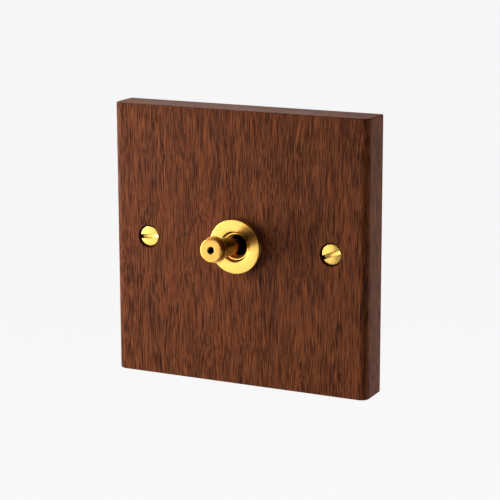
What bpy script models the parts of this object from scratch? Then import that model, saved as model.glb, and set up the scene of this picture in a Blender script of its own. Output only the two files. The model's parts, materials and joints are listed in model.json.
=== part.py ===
"""A one-gang toggle light switch with a square hardwood plate, at its real size.

Metres, +Z up. The wall is the plane y = 0, the room is on the -Y side and the wall box on
the +Y side. The origin is in the wall plane, midway between the two fixing screws.
"Out" is the distance from the wall plane towards the room, so out = -y, and "depth" is
the distance into the wall box, so depth = y. Pieces that touch keep a clearance of GAP.
"""

import math

import bmesh
import bpy
from mathutils import Vector

MM = 0.001
GAP = 0.3 * MM
PAST = 1.0 * MM  # how far a cutter runs past the face it cuts
FINE = 28  # sides of a large round piece
COARSE = 16  # sides of a small round piece
SHARP = math.radians(35)
FACING_ROOM = (math.radians(90), 0, 0)  # turns local +Z to -Y
FACING_BOX = (math.radians(-90), 0, 0)  # turns local +Z to +Y
ALONG_X = (0, math.radians(90), 0)

# Face plate
PLATE_SIDE = 83.5 * MM
PLATE_THICKNESS = 11 * MM
PLATE_DROP = 1.2 * MM  # the plate's middle lies this far below the fixings
SIDE_ROUND = 2.6 * MM  # front edges along the grain
BACK_ROUND = 0.5 * MM  # back edges along the grain
END_ROUND = 0.5 * MM  # edges round the two end-grain faces
FIXING_CENTRES = 60.3 * MM
FIXING_X = FIXING_CENTRES / 2

# Support plate, let into the back of the wood
SUPPORT_SIZE = (70 * MM, 1.5 * MM, 46 * MM)
SUPPORT_BACK = -GAP
SUPPORT_FRONT = SUPPORT_BACK - SUPPORT_SIZE[1]
POCKET_DEPTH = -SUPPORT_FRONT + GAP
PLATE_SCREW_PLACES = ((-22, -18), (22, -18), (-22, 18), (22, 18))  # x and z, in mm
EARTH_X = -22 * MM

# Bush, collar and lever
BUSH_RADIUS = 4.25 * MM
BUSH_OUT = PLATE_THICKNESS + 1.4 * MM
BUSH_FLANGE_RADIUS = 6.0 * MM
COLLAR_RADIUS = 8.25 * MM
WASHER_RADIUS = 8.1 * MM
COLLAR_BORE = BUSH_RADIUS + 0.35 * MM
WASHER_THICKNESS = 0.6 * MM
RING_THICKNESS = 1.2 * MM
PIVOT_OUT = PLATE_THICKNESS - 3.5 * MM
LEVER_REACH = 21.15 * MM  # pivot to tip
LEVER_TILT = math.radians(5.4)  # up from straight out
BALL_RADIUS = 2.0 * MM
PIN_RADIUS = 0.55 * MM
TAIL_RADIUS = 1.2 * MM
CAP_RADIUS = 3.6 * MM
CAP_THICKNESS = 1.6 * MM
FLANGE_RADIUS = 3.95 * MM
FLANGE_THICKNESS = 0.6 * MM
STUD_RADIUS = 1.5 * MM
THROAT_RADIUS = 2.35 * MM
THROAT_OUT = PLATE_THICKNESS - 0.5 * MM

# Mechanism. Distances along the lever are counted back from its pivot.
CUP_START = 14.4 * MM
CUP_WEB = 16.2 * MM
CUP_WEB_THICKNESS = 0.6 * MM
CUP_END = 21.0 * MM
CUP_RADIUS = 2.3 * MM
CUP_BORE = 1.65 * MM
PLUNGER_END = 22.8 * MM
PLUNGER_RADIUS = 1.3 * MM
SPRING_RADIUS = 1.1 * MM
SPRING_WIRE = 0.16 * MM
SPRING_TURNS = 4
SPRING_ROOM = 2.9 * MM
ROCKER_SIZE = (5.0 * MM, 1.2 * MM, 14.6 * MM)
ROCKER_DEPTH = PLUNGER_END - PIVOT_OUT + GAP + ROCKER_SIZE[1] / 2
ROCKER_TILT = math.radians(8)
TRUNNION_RADIUS = 0.6 * MM
CONTACT_Z = 6.0 * MM

# Housing
NUT_FRONT = SUPPORT_BACK + GAP + 0.5 * MM + GAP
NUT_THICKNESS = 2.0 * MM
NUT_ACROSS_FLATS = 12 * MM
HOUSING_FRONT = NUT_FRONT + NUT_THICKNESS + GAP
HOUSING_SIZE = (27 * MM, 24 * MM)
HOUSING_WALL = 1.7 * MM
TERMINAL_FRONT = ROCKER_DEPTH + 3.6 * MM
STRAP_THICKNESS = 1.0 * MM
BASE_FRONT = TERMINAL_FRONT + STRAP_THICKNESS + 0.9 * MM
BASE_THICKNESS = 3.5 * MM
PILLAR_END = BASE_FRONT + BASE_THICKNESS + 4.0 * MM
PILLAR_SIDE = 6.0 * MM
UPPER_Z = 6.9 * MM
COMMON_X = 8.2 * MM
HOUSING_SCREW_PLACES = ((-10.2, 8.7), (10.2, -8.7))  # x and z, in mm


# ---------------------------------------------------------------- scene and materials


def clear_scene():
    for obj in list(bpy.data.objects):
        bpy.data.objects.remove(obj)


def new_collection(name):
    collection = bpy.data.collections.new(name)
    bpy.context.scene.collection.children.link(collection)
    return collection


def new_material(name, colour, roughness, metallic=0.0):
    material = bpy.data.materials.new(name)
    material.use_nodes = True
    shader = material.node_tree.nodes["Principled BSDF"]
    shader.inputs["Base Color"].default_value = (*colour, 1)
    shader.inputs["Roughness"].default_value = roughness
    shader.inputs["Metallic"].default_value = metallic
    material.diffuse_color = (*colour, 1)
    return material


clear_scene()
PARTS = new_collection("toggle_wall_switch")
CUTTERS = new_collection("cutters")
CUTTERS.hide_render = True

HARDWOOD = new_material("hardwood", (0.15, 0.055, 0.028), 0.45)
BRASS = new_material("polished_brass", (0.89, 0.60, 0.18), 0.14, 1.0)
LEVER_BRASS = new_material("lever_brass", (0.72, 0.40, 0.12), 0.22, 1.0)
STEEL = new_material("zinc_plated_steel", (0.55, 0.56, 0.58), 0.35, 1.0)
SILVER = new_material("contact_silver", (0.80, 0.79, 0.76), 0.25, 1.0)
MOULDING = new_material("moulded_case", (0.06, 0.06, 0.065), 0.5)
NYLON = new_material("nylon", (0.75, 0.73, 0.66), 0.4)


# ---------------------------------------------------------------- shape helpers


def place(name, mesh, material, parent, location, rotation):
    obj = bpy.data.objects.new(name, mesh)
    PARTS.objects.link(obj)
    obj.location = location
    obj.rotation_euler = rotation
    obj.parent = parent
    if material:
        mesh.materials.append(material)
    return obj


def baked(obj):
    """Replaces the object's mesh by its evaluated shape, smooth but for its sharp edges."""
    graph = bpy.context.evaluated_depsgraph_get()
    mesh = bpy.data.meshes.new_from_object(obj.evaluated_get(graph))
    obj.modifiers.clear()
    obj.data = mesh
    mesh.shade_smooth()
    mesh.set_sharp_from_angle(angle=SHARP)
    return obj


def turned(name, profile, material, parent=None, at=(0, 0, 0), facing=FACING_ROOM, sides=FINE):
    """Turns a profile of (radius, height) points about local Z, from its top to its bottom.

    A profile that starts off the axis is a closed loop, and makes a ring.
    """
    count = len(profile)
    edges = [(i, i + 1) for i in range(count - 1)]
    if profile[0][0] > 0:
        edges.append((count - 1, 0))
    mesh = bpy.data.meshes.new(name)
    mesh.from_pydata([(radius, 0, height) for radius, height in profile], edges, [])
    obj = place(name, mesh, material, parent, at, facing)
    screw = obj.modifiers.new("Turn", "SCREW")
    screw.steps = sides
    screw.render_steps = sides
    screw.use_merge_vertices = True
    screw.merge_threshold = 0.001 * MM
    return baked(obj)


def rod(name, radius, low, high, material, parent=None, at=(0, 0, 0), facing=FACING_ROOM, sides=COARSE):
    profile = [(0, high), (radius, high), (radius, low), (0, low)]
    return turned(name, profile, material, parent, at, facing, sides)


def block(name, low, high, material, parent=None, at=(0, 0, 0), rounding=0.0, along=None):
    """A box between two corners. Its edges are rounded: all of them, or those along one axis."""
    low = Vector(low)
    high = Vector(high)
    shape = bmesh.new()
    bmesh.ops.create_cube(shape, size=1)
    bmesh.ops.scale(shape, vec=high - low, verts=shape.verts)
    bmesh.ops.translate(shape, vec=(low + high) / 2, verts=shape.verts)
    weights = shape.edges.layers.float.new("bevel_weight_edge")
    for edge in shape.edges:
        run = edge.verts[1].co - edge.verts[0].co
        edge[weights] = 1.0 if along is None or abs(run["XYZ".index(along)]) > 0 else 0.0
    mesh = bpy.data.meshes.new(name)
    shape.to_mesh(mesh)
    shape.free()
    obj = place(name, mesh, material, parent, at, (0, 0, 0))
    if rounding:
        round_edges(obj, rounding, 2)
        baked(obj)
    return obj


def round_edges(obj, width, segments):
    bevel = obj.modifiers.new("Round", "BEVEL")
    bevel.limit_method = "WEIGHT"
    bevel.width = width
    bevel.segments = segments


def combine(obj, other, operation):
    """Cuts `other` from obj, or joins it on, and keeps `other` as a hidden helper."""
    boolean = obj.modifiers.new(operation.title(), "BOOLEAN")
    boolean.operation = operation
    boolean.object = other
    PARTS.objects.unlink(other)
    CUTTERS.objects.link(other)
    other.hide_render = True
    other.display_type = "WIRE"


def cut(obj, *others):
    for other in others:
        combine(obj, other, "DIFFERENCE")


def join(obj, *others):
    for other in others:
        combine(obj, other, "UNION")


def arc(centre, radius, start, end, points):
    """Points of (radius, height) round a centre, its angles counted from straight up."""
    steps = (start + (end - start) * i / (points - 1) for i in range(points))
    return [
        (centre[0] + radius * math.sin(angle), centre[1] + radius * math.cos(angle))
        for angle in steps
    ]


# ---------------------------------------------------------------- face plate and fixings


def make_wood_plate():
    half = PLATE_SIDE / 2
    low = (-half, -PLATE_THICKNESS, -PLATE_DROP - half)
    high = (half, 0, -PLATE_DROP + half)
    plate = block("wood_plate", low, high, HARDWOOD)
    weights = plate.data.attributes["bevel_weight_edge"].data
    for edge, weight in zip(plate.data.edges, weights):
        one, other = (plate.data.vertices[i].co for i in edge.vertices)
        upright = one.x == other.x and one.y == other.y
        rounding = SIDE_ROUND if one.y < 0 else BACK_ROUND
        weight.value = rounding / SIDE_ROUND if upright else 0.0
    round_edges(plate, SIDE_ROUND, 6)
    baked(plate)
    ends = plate.modifiers.new("Ends", "BEVEL")
    ends.limit_method = "ANGLE"
    ends.angle_limit = math.radians(60)
    ends.width = END_ROUND
    ends.segments = 2
    baked(plate)
    width, _, height = SUPPORT_SIZE
    pocket = block(
        "pocket_cutter",
        (-width / 2 - GAP, -POCKET_DEPTH, -height / 2 - GAP),
        (width / 2 + GAP, PAST, height / 2 + GAP),
        None,
        rounding=3 * MM,
        along="Y",
    )
    cut(plate, pocket)
    cut(plate, rod("bush_hole_cutter", COLLAR_BORE, -PAST, PLATE_THICKNESS + PAST, None, sides=FINE))
    for side in (-1, 1):
        cut(plate, make_fixing_hole_cutter(side * FIXING_X))
    for number, (x, z) in enumerate(PLATE_SCREW_PLACES, 1):
        pilot = rod(
            f"pilot_cutter_{number}", 1.4 * MM, POCKET_DEPTH - PAST, POCKET_DEPTH + 5 * MM, None,
            at=(x * MM, 0, z * MM), sides=12,
        )
        cut(plate, pilot)
    return plate


def make_fixing_hole_cutter(x):
    """A straight mouth, a 90 degree seat for the screw's head and a clearance hole."""
    mouth = 3.5 * MM
    bore = 2.1 * MM
    seat = PLATE_THICKNESS - 0.75 * MM
    profile = [
        (0, PLATE_THICKNESS + PAST),
        (mouth, PLATE_THICKNESS + PAST),
        (mouth, seat),
        (bore, seat - (mouth - bore)),
        (bore, -PAST),
        (0, -PAST),
    ]
    return turned("fixing_hole_cutter", profile, None, at=(x, 0, 0), sides=FINE)


def make_slot_cutter(head_out, depth, width, length, at, angle, facing=FACING_ROOM):
    """A bar across the head of a screw, turned by an angle about the screw's axis."""
    slot = block(
        "slot_cutter",
        (-length / 2, -width / 2, head_out - depth),
        (length / 2, width / 2, head_out + PAST),
        None,
        at=at,
    )
    slot.rotation_euler = (facing[0], -angle if facing[0] > 0 else angle, 0)
    return slot


def make_fixing_screw(name, x, slot_angle):
    """M3.5 raised countersunk screw: a low dome, a 90 degree cone and the shank."""
    head = 3.05 * MM
    shank = 1.65 * MM
    rim = PLATE_THICKNESS - 0.5 * MM
    dome_height = 0.5 * MM
    dome_radius = (head**2 + dome_height**2) / (2 * dome_height)
    dome_edge = math.asin(head / dome_radius)
    dome = arc((0, rim + dome_height - dome_radius), dome_radius, 0, dome_edge, 6)
    profile = dome + [
        (head, rim - 0.15 * MM),
        (shank, rim - 0.15 * MM - (head - shank)),
        (shank, -19.4 * MM),
        (shank - 0.5 * MM, -20 * MM),
        (0, -20 * MM),
    ]
    screw = turned(name, profile, BRASS, at=(x, 0, 0), sides=28)
    slot = make_slot_cutter(rim + dome_height, 1.1 * MM, 1.35 * MM, 8 * MM, (x, 0, 0), slot_angle)
    cut(screw, slot)
    return screw


# ---------------------------------------------------------------- collar, bush and lever


def ring_profile(inner, outer, back, front, ease):
    """A ring between two heights, with its front outer edge rounded and its bore eased."""
    corner = (outer - ease, front - ease)
    return (
        [(inner + ease / 2, front)]
        + arc(corner, ease, 0, math.pi / 2, 4)
        + [(outer, back), (inner, back), (inner, front - ease / 2)]
    )


def make_collar():
    washer_back = PLATE_THICKNESS + GAP
    washer_front = washer_back + WASHER_THICKNESS
    ring_back = washer_front + GAP
    ring_front = ring_back + RING_THICKNESS
    washer = ring_profile(COLLAR_BORE, WASHER_RADIUS, washer_back, washer_front, 0.2 * MM)
    ring = ring_profile(COLLAR_BORE, COLLAR_RADIUS, ring_back, ring_front, 0.35 * MM)
    turned("collar_washer", washer, BRASS)
    turned("collar_ring", ring, BRASS)


def make_bush():
    """Barrel with a flared mouth, a throat in front of the pivot and a wider bore behind it."""
    flange_front = -(HOUSING_FRONT + HOUSING_WALL + GAP)
    flange_back = flange_front - 1.2 * MM
    chamber = 3.2 * MM
    profile = [
        (BUSH_RADIUS - 0.45 * MM, BUSH_OUT),
        (BUSH_RADIUS - 0.15 * MM, BUSH_OUT),
        (BUSH_RADIUS, BUSH_OUT - 0.15 * MM),
        (BUSH_RADIUS, flange_front),
        (BUSH_FLANGE_RADIUS, flange_front),
        (BUSH_FLANGE_RADIUS, flange_back),
        (chamber + 0.35 * MM, flange_back),
        (chamber, flange_back + 4 * MM),
        (chamber, THROAT_OUT - 1.4 * MM),
        (THROAT_RADIUS, THROAT_OUT - 0.6 * MM),
        (THROAT_RADIUS, THROAT_OUT),
    ]
    bush = turned("threaded_bush", profile, BRASS)
    pin_hole = rod(
        "bush_pin_hole_cutter", PIN_RADIUS + GAP, -6 * MM, 6 * MM, None,
        at=(0, -PIVOT_OUT, 0), facing=ALONG_X, sides=12,
    )
    cut(bush, pin_hole)
    rod(
        "pivot_pin", PIN_RADIUS, -BUSH_RADIUS + 0.1 * MM, BUSH_RADIUS - 0.1 * MM, STEEL,
        at=(0, -PIVOT_OUT, 0), facing=ALONG_X, sides=12,
    )


def neck_radius(reach):
    """The bat-shaped neck: full behind the flange, drawn in on a sine towards the ball."""
    full = 2.9 * MM
    thin = 1.3 * MM
    start = 3.7 * MM
    end = 11.8 * MM
    share = max(0.0, min(1.0, (reach - start) / (end - start)))
    return thin + (full - thin) * math.sin(share * math.pi / 2)


def make_lever(pivot):
    """Shank with its stud, flange, neck, pivot ball and tail, and the cap on the stud."""
    tip = LEVER_REACH
    stud_end = tip - 0.9 * MM
    flange_front = tip - CAP_THICKNESS - 0.5 * MM
    flange_back = flange_front - FLANGE_THICKNESS
    flange = FLANGE_RADIUS
    ease = 0.15 * MM
    stud = [
        (0, tip - 4.5 * MM),
        (0.6 * MM, tip - 4.5 * MM),
        (0.6 * MM, stud_end),
        (STUD_RADIUS, stud_end),
        (STUD_RADIUS, flange_front),
    ]
    rim = [
        (flange - ease, flange_front),
        (flange, flange_front - ease),
        (flange, flange_back + ease),
        (flange - ease, flange_back),
    ]
    neck_top = flange_back
    neck_bottom = 1.6 * MM
    steps = 10
    heights = [neck_top + (neck_bottom - neck_top) * i / steps for i in range(steps + 1)]
    neck = [(neck_radius(height), height) for height in heights]
    ball = arc((0, 0), BALL_RADIUS, math.radians(45), math.radians(142), 8)
    tail_end = -(CUP_WEB - GAP)
    tail = [(TAIL_RADIUS, -2.2 * MM), (TAIL_RADIUS, tail_end), (0, tail_end)]
    shank = turned("lever_shank", stud + rim + neck + ball + tail, LEVER_BRASS, pivot, facing=(0, 0, 0))
    pin_hole = rod(
        "ball_pin_hole_cutter", PIN_RADIUS + GAP, -3 * MM, 3 * MM, None, pivot, facing=ALONG_X, sides=12,
    )
    cut(shank, pin_hole)

    bore = STUD_RADIUS + GAP
    hole = 0.85 * MM
    chamfer = 0.2 * MM
    back = tip - CAP_THICKNESS
    cap = [
        (hole + 0.25 * MM, tip),
        (CAP_RADIUS - chamfer, tip),
        (CAP_RADIUS, tip - chamfer),
        (CAP_RADIUS, back + ease),
        (CAP_RADIUS - ease, back),
        (bore, back),
        (bore, stud_end + GAP),
        (hole, stud_end + GAP),
        (hole, tip - 0.2 * MM),
    ]
    turned("lever_cap", cap, LEVER_BRASS, pivot, facing=(0, 0, 0))


# ---------------------------------------------------------------- parts that ride on the tail


def make_actuator(pivot):
    """Cup on the tail, and the sprung plunger in its rear bore. Heights run back from 0."""
    start = -CUP_START
    web = -CUP_WEB
    floor = web - CUP_WEB_THICKNESS
    end = -CUP_END
    socket = TAIL_RADIUS + GAP
    # The socket and the rear bore join through a vent in the web.
    vent = 0.5 * MM
    cup = [
        (socket, start),
        (CUP_RADIUS - 0.3 * MM, start),
        (CUP_RADIUS, start - 0.3 * MM),
        (CUP_RADIUS, end),
        (CUP_BORE, end),
        (CUP_BORE, floor),
        (vent, floor),
        (vent, web),
        (socket, web),
    ]
    turned("actuator_cup", cup, NYLON, pivot, facing=(0, 0, 0), sides=24)

    nose = -PLUNGER_END + PLUNGER_RADIUS
    top = floor - SPRING_ROOM
    plunger = [(0, top), (PLUNGER_RADIUS, top)]
    plunger += arc((0, nose), PLUNGER_RADIUS, math.pi / 2, math.pi, 7)
    plunger[-1] = (0, -PLUNGER_END)
    turned("plunger", plunger, NYLON, pivot, facing=(0, 0, 0), sides=COARSE)
    make_spring("plunger_spring", floor - GAP, top + GAP, pivot)


def make_spring(name, top, bottom, pivot):
    """Coil spring on local Z, made as a mesh tube along its helix."""
    path = bpy.data.curves.new(name, "CURVE")
    path.dimensions = "3D"
    path.bevel_depth = SPRING_WIRE
    path.bevel_resolution = 1
    path.use_fill_caps = True
    count = SPRING_TURNS * 12
    spline = path.splines.new("POLY")
    spline.points.add(count)
    for i in range(count + 1):
        share = i / count
        angle = 2 * math.pi * SPRING_TURNS * share
        height = top - SPRING_WIRE + (bottom - top + 2 * SPRING_WIRE) * share
        x = SPRING_RADIUS * math.cos(angle)
        y = SPRING_RADIUS * math.sin(angle)
        spline.points[i].co = (x, y, height, 1)
    path.materials.append(STEEL)
    spring = bpy.data.objects.new(name, path)
    PARTS.objects.link(spring)
    spring.parent = pivot
    return spring


# ---------------------------------------------------------------- contacts and terminals


def make_rivet(name, front, back, radius, bore, material, parent, at, facing):
    """Contact rivet: a head at the front, a shank, and a formed head at the back."""
    head = 0.6 * MM
    foot = 0.3 * MM
    profile = [
        (0, front + head),
        (radius - 0.3 * MM, front + head),
        (radius, front + head - 0.2 * MM),
        (radius, front),
        (bore, front),
        (bore, back),
        (radius - 0.3 * MM, back),
        (radius - 0.3 * MM, back - foot),
        (0, back - foot),
    ]
    return turned(name, profile, material, parent, at, facing, COARSE)


def make_rocker(pivot):
    """See-saw bar with trunnions at its middle and a contact rivet at each end."""
    width, thickness, height = ROCKER_SIZE
    bar = block(
        "rocker",
        (-width / 2, -thickness / 2, -height / 2),
        (width / 2, thickness / 2, height / 2),
        BRASS,
        pivot,
        rounding=1.2 * MM,
        along="Y",
    )
    trunnion = rod(
        "trunnion_joiner", TRUNNION_RADIUS, -4.9 * MM, 4.9 * MM, None, pivot, facing=ALONG_X, sides=16,
    )
    join(bar, trunnion)
    reach = thickness / 2 + GAP
    for label, z in (("upper", CONTACT_Z), ("lower", -CONTACT_Z)):
        hole = rod(
            f"rocker_{label}_cutter", 0.8 * MM, -PAST, PAST, None, pivot, (0, 0, z), FACING_BOX,
        )
        cut(bar, hole)
        make_rivet(
            f"rocker_contact_{label}", reach, -reach, 1.2 * MM, 0.5 * MM, SILVER, pivot,
            (0, 0, z), FACING_BOX,
        )


def make_terminal(name, x, z, strap_low, strap_high, wire_axis):
    """Pillar terminal: a strap in the housing joined to a block that comes out of the base."""
    half = PILLAR_SIDE / 2
    middle = TERMINAL_FRONT + STRAP_THICKNESS / 2
    pillar = block(
        name,
        (x - half, middle, z - half),
        (x + half, PILLAR_END, z + half),
        BRASS,
        rounding=0.4 * MM,
        along="Y",
    )
    back = TERMINAL_FRONT + STRAP_THICKNESS
    strap = block(
        f"{name}_strap_joiner",
        (strap_low[0], TERMINAL_FRONT, strap_low[1]),
        (strap_high[0], back, strap_high[1]),
        None,
    )
    join(pillar, strap)
    wire_at = (x, PILLAR_END - 2.4 * MM, z)
    facing = ALONG_X if wire_axis == "X" else (0, 0, 0)
    cut(pillar, rod(f"{name}_wire_cutter", 1.5 * MM, -8 * MM, 8 * MM, None, at=wire_at, facing=facing))
    screw_bore = rod(
        f"{name}_bore_cutter", 1.55 * MM, BASE_FRONT + 1.5 * MM, PILLAR_END + PAST, None,
        at=(x, 0, z), facing=FACING_BOX,
    )
    cut(pillar, screw_bore)
    return pillar


def make_terminal_screw(name, x, z, pillar_end, shank_start):
    """M2.5 cheese-head screw in the end of a pillar."""
    head = 2.3 * MM
    head_height = 1.4 * MM
    shank = 1.25 * MM
    seat = pillar_end + GAP
    top = seat + head_height
    profile = [
        (0, top),
        (head - 0.25 * MM, top),
        (head, top - 0.25 * MM),
        (head, seat),
        (shank, seat),
        (shank, shank_start + 0.3 * MM),
        (shank - 0.3 * MM, shank_start),
        (0, shank_start),
    ]
    screw = turned(name, profile, STEEL, at=(x, 0, z), facing=FACING_BOX, sides=COARSE)
    slot = make_slot_cutter(top, 0.8 * MM, 0.7 * MM, 6 * MM, (x, 0, z), math.radians(25), FACING_BOX)
    cut(screw, slot)


def make_change_over_terminal(label, side):
    """Upper or lower terminal, with its fixed contact facing the rocker."""
    inner = side * (CONTACT_Z - 1.6 * MM)
    outer = side * (UPPER_Z + PILLAR_SIDE / 2)
    low, high = sorted((inner, outer))
    terminal = make_terminal(
        f"{label}_terminal", 0, side * UPPER_Z, (-2 * MM, low), (2 * MM, high), "X",
    )
    z = side * CONTACT_Z
    hole = rod(
        f"{label}_rivet_cutter", 0.8 * MM, TERMINAL_FRONT - PAST, TERMINAL_FRONT + 1.7 * MM, None,
        at=(0, 0, z), facing=FACING_BOX,
    )
    cut(terminal, hole)
    rivet_front = -(TERMINAL_FRONT - GAP)
    profile = [
        (0, rivet_front + 0.6 * MM),
        (1.0 * MM, rivet_front + 0.6 * MM),
        (1.3 * MM, rivet_front + 0.4 * MM),
        (1.3 * MM, rivet_front),
        (0.5 * MM, rivet_front),
        (0.5 * MM, rivet_front - 1.6 * MM),
        (0, rivet_front - 1.6 * MM),
    ]
    turned(f"fixed_contact_{label}", profile, SILVER, at=(0, 0, z), sides=COARSE)
    make_terminal_screw(f"{label}_screw", 0, side * UPPER_Z, PILLAR_END, PILLAR_END - 3.6 * MM)


def make_common_terminal():
    """Terminal with two notched lugs that cradle the rocker's trunnions."""
    lug_x = 4.0 * MM
    lug_half = 0.4 * MM
    strap_low = (-lug_x - lug_half, -2 * MM)
    strap_high = (COMMON_X + PILLAR_SIDE / 2, 2 * MM)
    terminal = make_terminal("common_terminal", COMMON_X, 0, strap_low, strap_high, "Z")
    for side in (-1, 1):
        lug = block(
            "lug_joiner",
            (side * lug_x - lug_half, ROCKER_DEPTH - 1.4 * MM, -2 * MM),
            (side * lug_x + lug_half, TERMINAL_FRONT + STRAP_THICKNESS / 2, 2 * MM),
            None,
        )
        join(terminal, lug)
    notch = TRUNNION_RADIUS + GAP
    seat = rod(
        "notch_seat_cutter", notch, -5.5 * MM, 5.5 * MM, None,
        at=(0, ROCKER_DEPTH, 0), facing=ALONG_X, sides=16,
    )
    mouth = block(
        "notch_mouth_cutter",
        (-5.5 * MM, ROCKER_DEPTH - 2.5 * MM, -notch),
        (5.5 * MM, ROCKER_DEPTH, notch),
        None,
    )
    cut(terminal, seat, mouth)
    make_terminal_screw("common_screw", COMMON_X, 0, PILLAR_END, PILLAR_END - 3.6 * MM)


# ---------------------------------------------------------------- housing and support


def make_housing():
    """Moulded case, open at the back, with two screw bosses, and the base that closes it."""
    half_x, half_z = (side / 2 for side in HOUSING_SIZE)
    rear = BASE_FRONT - GAP
    body = block(
        "housing_body", (-half_x, HOUSING_FRONT, -half_z), (half_x, rear, half_z), MOULDING,
        rounding=0.8 * MM, along="Y",
    )
    inner_x = half_x - HOUSING_WALL
    inner_z = half_z - HOUSING_WALL
    inside = block(
        "inside_cutter",
        (-inner_x, HOUSING_FRONT + HOUSING_WALL, -inner_z),
        (inner_x, rear + PAST, inner_z),
        None,
    )
    cut(body, inside)
    cut(body, rod("mouth_cutter", COLLAR_BORE, HOUSING_FRONT - PAST, HOUSING_FRONT + 3 * MM, None,
                  facing=FACING_BOX, sides=FINE))
    base = block(
        "housing_base", (-half_x, BASE_FRONT, -half_z), (half_x, BASE_FRONT + BASE_THICKNESS, half_z),
        MOULDING, rounding=0.8 * MM, along="Y",
    )
    pillar_half = PILLAR_SIDE / 2 + GAP
    for x, z in ((0, UPPER_Z), (0, -UPPER_Z), (COMMON_X, 0)):
        opening = block(
            "pillar_opening_cutter",
            (x - pillar_half, BASE_FRONT - PAST, z - pillar_half),
            (x + pillar_half, BASE_FRONT + BASE_THICKNESS + PAST, z + pillar_half),
            None,
        )
        cut(base, opening)
    for number, (x, z) in enumerate(HOUSING_SCREW_PLACES, 1):
        make_housing_screw(number, x * MM, z * MM, body, base)


def make_housing_screw(number, x, z, body, base):
    """Boss in a corner of the case, hole in the base, and the screw through both."""
    side_x = math.copysign(1, x)
    side_z = math.copysign(1, z)
    corner = (side_x * (HOUSING_SIZE[0] / 2 - 1 * MM), side_z * (HOUSING_SIZE[1] / 2 - 1 * MM))
    inner = (x - side_x * 2.2 * MM, z - side_z * 2.2 * MM)
    low_x, high_x = sorted((corner[0], inner[0]))
    low_z, high_z = sorted((corner[1], inner[1]))
    boss = block(
        f"boss_joiner_{number}",
        (low_x, HOUSING_FRONT + 1 * MM, low_z),
        (high_x, BASE_FRONT - 2 * GAP, high_z),
        None,
    )
    join(body, boss)
    head_seat = BASE_FRONT + BASE_THICKNESS
    hole = 1.3 * MM
    start = BASE_FRONT - 6 * MM
    cut(body, rod(f"boss_cutter_{number}", hole, start - GAP, BASE_FRONT + PAST, None,
                  at=(x, 0, z), facing=FACING_BOX, sides=12))
    cut(base, rod(f"base_hole_cutter_{number}", hole, BASE_FRONT - PAST, head_seat + PAST, None,
                  at=(x, 0, z), facing=FACING_BOX, sides=12))
    shank = hole - GAP
    profile = [
        (0, head_seat + 1.5 * MM),
        (1.3 * MM, head_seat + 1.5 * MM),
        (2.0 * MM, head_seat + 0.9 * MM),
        (2.0 * MM, head_seat + GAP),
        (shank, head_seat + GAP),
        (shank, start + 0.5 * MM),
        (0.4 * MM, start),
        (0, start),
    ]
    screw = turned(f"housing_screw_{number}", profile, STEEL, at=(x, 0, z), facing=FACING_BOX, sides=16)
    slot = make_slot_cutter(head_seat + 1.5 * MM, 0.6 * MM, 0.6 * MM, 5 * MM, (x, 0, z),
                            math.radians(-35), FACING_BOX)
    cut(screw, slot)


def make_support_plate():
    """Steel plate that the mechanism hangs on, and the short screws that hold it to the wood."""
    width, _, height = SUPPORT_SIZE
    plate = block(
        "support_plate",
        (-width / 2, SUPPORT_FRONT, -height / 2),
        (width / 2, SUPPORT_BACK, height / 2),
        STEEL,
        rounding=2.5 * MM,
        along="Y",
    )
    low = SUPPORT_FRONT - PAST
    high = SUPPORT_BACK + PAST
    cut(plate, rod("support_bush_cutter", COLLAR_BORE, low, high, None, facing=FACING_BOX, sides=FINE))
    for side in (-1, 1):
        at = (side * FIXING_X, 0, 0)
        cut(plate, rod("support_fixing_cutter", 2.1 * MM, low, high, None, at=at, facing=FACING_BOX))
    cut(plate, rod("support_earth_cutter", 1.8 * MM, low, high, None, at=(EARTH_X, 0, 0),
                   facing=FACING_BOX))
    for number, (x, z) in enumerate(PLATE_SCREW_PLACES, 1):
        at = (x * MM, 0, z * MM)
        cut(plate, rod("support_screw_cutter", 1.4 * MM, low, high, None, at=at, facing=FACING_BOX,
                       sides=12))
        make_plate_screw(f"plate_screw_{number}", at)


def make_plate_screw(name, at):
    """Pan-head wood screw. Its head is on the box side and its point in the wood."""
    seat = SUPPORT_BACK + GAP
    shank = 1.1 * MM
    point = -(POCKET_DEPTH + 4.6 * MM)
    profile = [
        (0, seat + 1.2 * MM),
        (1.2 * MM, seat + 1.2 * MM),
        (2.2 * MM, seat + 0.6 * MM),
        (2.2 * MM, seat),
        (shank, seat),
        (shank, point + 1.5 * MM),
        (0.2 * MM, point),
        (0, point),
    ]
    screw = turned(name, profile, STEEL, at=at, facing=FACING_BOX, sides=16)
    cut(screw, make_slot_cutter(seat + 1.2 * MM, 0.6 * MM, 0.6 * MM, 6 * MM, at, 0.4, FACING_BOX))


def make_earth_terminal():
    """Brass block on the support plate, with a stud through the plate and a clamping screw."""
    half = 3.2 * MM
    front = SUPPORT_BACK + GAP
    end = front + 8 * MM
    body = block(
        "earth_terminal", (EARTH_X - half, front, -half), (EARTH_X + half, end, half), BRASS,
        rounding=0.4 * MM, along="Y",
    )
    stud = rod("earth_stud_joiner", 1.5 * MM, SUPPORT_FRONT + 0.1 * MM, front + PAST, None,
               at=(EARTH_X, 0, 0), facing=FACING_BOX)
    join(body, stud)
    wire_at = (EARTH_X, end - 3 * MM, 0)
    cut(body, rod("earth_wire_cutter", 1.5 * MM, -6 * MM, 6 * MM, None, at=wire_at, facing=(0, 0, 0)))
    bore = rod("earth_bore_cutter", 1.55 * MM, front + 2.5 * MM, end + PAST, None,
               at=(EARTH_X, 0, 0), facing=FACING_BOX)
    cut(body, bore)
    make_terminal_screw("earth_screw", EARTH_X, 0, end, end - 4.2 * MM)


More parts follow.
